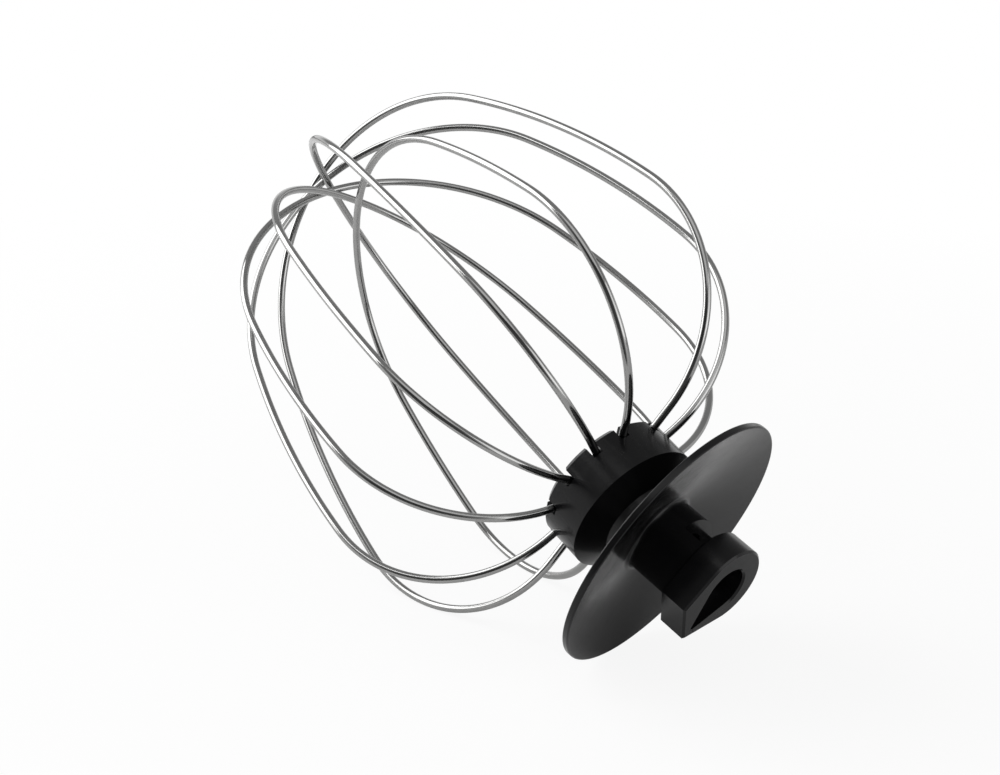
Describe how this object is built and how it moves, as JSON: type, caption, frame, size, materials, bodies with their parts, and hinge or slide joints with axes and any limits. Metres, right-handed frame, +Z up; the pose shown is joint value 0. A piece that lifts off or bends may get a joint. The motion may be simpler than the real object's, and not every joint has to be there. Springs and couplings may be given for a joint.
{
  "type": "whisk attachment",
  "caption": "Balloon whisk for a stand mixer: bent steel wire loops held in a slotted plastic hub with a splash disc, a drive sleeve and a keyed spindle socket.",
  "frame": {"origin": "on the floor, under the middle of the whole part as it lies on its disc rim and two wires", "axes": "+Z up, +X along the floor from the drive socket towards the crown of the cage, +Y to the left of that"},
  "size_m": [0.1671, 0.1118, 0.1244],
  "materials": {
    "black_plastic": "satin moulded black plastic",
    "bright_wire": "bright drawn stainless wire"
  },
  "bodies": {
    "root": {"drive_hub": "black_plastic", "hub_cap": "black_plastic", "wire_loop_1": "bright_wire", "wire_loop_2": "bright_wire", "wire_loop_3": "bright_wire", "wire_loop_4": "bright_wire", "wire_loop_5": "bright_wire", "wire_loop_6": "bright_wire"}
  },
  "joints": []
}
